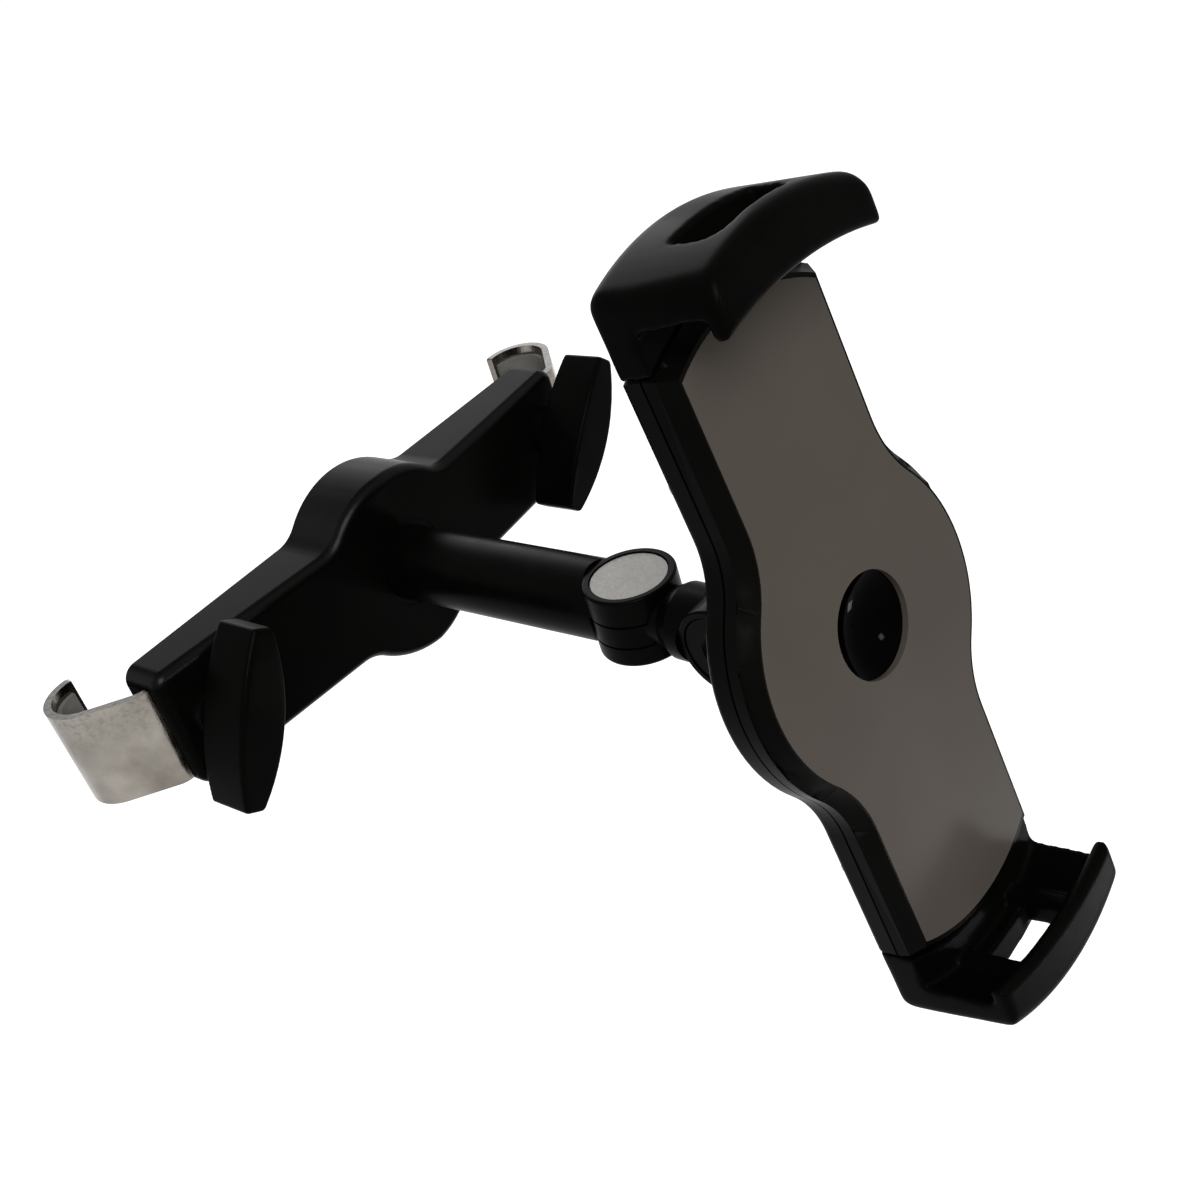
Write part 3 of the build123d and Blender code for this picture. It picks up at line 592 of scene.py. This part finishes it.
# faces of the strip turned up or down are darker, and the slopes of their bevels carry a painted highlight
# line
def paintEdgeShadeAndHighlight(mat, look):
    tree = mat.node_tree
    shader = tree.nodes["Principled BSDF"]
    ramp = tree.nodes.new("ShaderNodeValToRGB")
    stops = ramp.color_ramp.elements
    shades = [(place, (shade, shade, shade, 1.0)) for place, shade in look["edgeShadeAndHighlight"]]
    stops[0].color = shades[0][1]
    stops[1].color = shades[-1][1]
    for place, colour in shades[1:-1]:
        stops.new(place).color = colour
    # colour by facing: darker on faces turned up or down, a painted highlight on the bevel slopes
    tree.links.new(upwardShare(tree), ramp.inputs["Fac"])
    parts = tree.nodes.new("ShaderNodeSeparateXYZ")
    tree.links.new(objectCoords(tree), parts.inputs["Vector"])
    grown = ranged(tree, parts.outputs["Z"], *look["wrinkleRise"], 0.0, look["wrinkleReflectionDarkness"])
    noise = addNoise(tree, objectCoords(tree, look["wrinkleStretch"]), look["wrinkleScale"], "streaks")
    wrinkles = ranged(tree, noise, *look["wrinkleSpan"], 0.0, 1.0)
    # painted dark reflections of wrinkles in the plating, growing towards the top edge
    leftByPaintedWrinkles = combined(tree, "SUBTRACT", 1.0, combined(tree, "MULTIPLY", wrinkles, grown))
    colour = shader.inputs["Base Color"].links[0].from_socket
    colour = multiplied(tree, colour, leftByPaintedWrinkles)
    colour = multiplied(tree, colour, ramp.outputs["Color"])
    scaled = tree.nodes.new("ShaderNodeVectorMath")
    scaled.operation = "SCALE"
    scaled.inputs["Scale"].default_value = look["shadeScale"]
    tree.links.new(colour, scaled.inputs[0])
    tree.links.new(scaled.outputs["Vector"], shader.inputs["Base Color"])


hookPlating = brushedMetal("hookPlating", hookLook)
paintEdgeShadeAndHighlight(hookPlating, hookLook)
dress(hookPlating, "hook_left", "hook_right")

# cap of the elbow, satin silver
capLook = {
    "dark": (0.135, 0.129, 0.121), "light": (0.152, 0.146, 0.137),
    "smooth": 0.38, "rough": 0.5, "metal": 0.85, "gloss": 0.3,
    "stretch": (1.0, 1.0, 1.0), "streakScale": 2200.0, "patchScale": 200.0,
    "streaks": 0.1, "streakDepth": 0.00004,
}
dress(brushedMetal("capSilver", capLook), "hinge_cap")

# screws, bolts, nuts, washers and springs
steelLook = {
    "dark": (0.36, 0.36, 0.35), "light": (0.46, 0.46, 0.45),
    "smooth": 0.25, "rough": 0.4, "metal": 1.0, "gloss": 0.5,
    "stretch": (1.0, 1.0, 1.0), "streakScale": 900.0, "patchScale": 300.0,
    "streaks": 0.1, "streakDepth": 0.00005,
}
steelNodes = (
    "bracket_screws", "clamp_nuts", "arm_bolt", "arm_washer", "hinge_bolt", "hinge_nut",
    "tilt_bolt", "tilt_nut", "pivot_washer", "pivot_screw", "holder_screws", "upper_spring", "lower_spring",
)
dress(brushedMetal("steel", steelLook), *steelNodes)

# studs and washers of the knobs, blackened
blackSteelLook = {
    "dark": (0.001, 0.001, 0.001), "light": (0.002, 0.002, 0.002),
    "smooth": 0.35, "rough": 0.5, "metal": 0.0, "gloss": 0.012,
    "stretch": (1.0, 1.0, 1.0), "streakScale": 900.0, "patchScale": 300.0,
    "streaks": 0.1, "streakDepth": 0.00005,
}
dress(brushedMetal("blackSteel", blackSteelLook), "knob_stud_left", "knob_stud_right", "knob_washers")
print("metals done")

# studio: pale floor far below, white surround, soft lamps
studio = {
    "floorDrop": 0.22, "floorSize": 60.0, "floorColour": (0.45, 0.45, 0.45), "floorRoughness": 0.9,
    "floorGlow": 0.88, "surround": 1.0, "ambient": 0.30,
    "aim": (0.0, -0.07, 0.0),      # m, where the lamps point
    "keyPlace": (-0.4, -0.6, 0.65), "keySize": 0.5, "keyPower": 9.5,
    "frontPlace": (0.25, -0.42, -0.26), "frontSize": 0.055, "frontPower": 0.22,
    "glintPlace": (0.057, -0.58, 0.168), "glintSize": 0.05, "glintPower": 0.4,
    "backPlace": (0.55, 0.85, 0.45), "backSize": 0.7, "backPower": 5.0,
}


# one level where the eye or a reflection meets the surround, another for the light that it gives
def seenLevel(tree, unseen, seen):
    rays = tree.nodes.new("ShaderNodeLightPath")
    share = rays.outputs["Is Camera Ray"]
    for other in ("Is Glossy Ray", "Is Transmission Ray"):
        share = combined(tree, "MAXIMUM", share, rays.outputs[other])
    return ranged(tree, share, 0.0, 1.0, unseen, seen)


def makeFloor(values):
    low = cadBox[0][2] - values["floorDrop"]
    half = values["floorSize"] / 2
    mesh = bpy.data.meshes.new("floor")
    corners = [(-half, -half, low), (half, -half, low), (half, half, low), (-half, half, low)]
    mesh.from_pydata(corners, [], [(0, 1, 2, 3)])
    mat, tree, shader = startMaterial("paleFloor")
    shader.inputs["Base Color"].default_value = (*values["floorColour"], 1.0)
    shader.inputs["Roughness"].default_value = values["floorRoughness"]
    shader.inputs["Specular IOR Level"].default_value = 0.0
    shader.inputs["Emission Color"].default_value = white
    tree.links.new(seenLevel(tree, 0.0, values["floorGlow"]), shader.inputs["Emission Strength"])
    coat(mesh, mat)
    addObject("floor", mesh)


def makeLamp(kind, values):
    data = bpy.data.lights.new(kind + "Lamp", "AREA")
    data.shape = "SQUARE"
    data.size = values[kind + "Size"]
    data.energy = values[kind + "Power"]
    lamp = addObject(kind + "Lamp", data)
    lamp.location = values[kind + "Place"]
    beam = Vector(values["aim"]) - Vector(values[kind + "Place"])
    lamp.rotation_euler = beam.to_track_quat("-Z", "Y").to_euler()


def makeWorld(values):
    world = bpy.data.worlds.new("studioWorld")
    scene.world = world
    world.use_nodes = True
    tree = world.node_tree
    light = tree.nodes["Background"]
    light.inputs["Color"].default_value = white
    tree.links.new(seenLevel(tree, values["ambient"], values["surround"]), light.inputs["Strength"])


makeFloor(studio)
for kind in ("key", "front", "glint", "back"):
    makeLamp(kind, studio)
makeWorld(studio)
print("studio set")
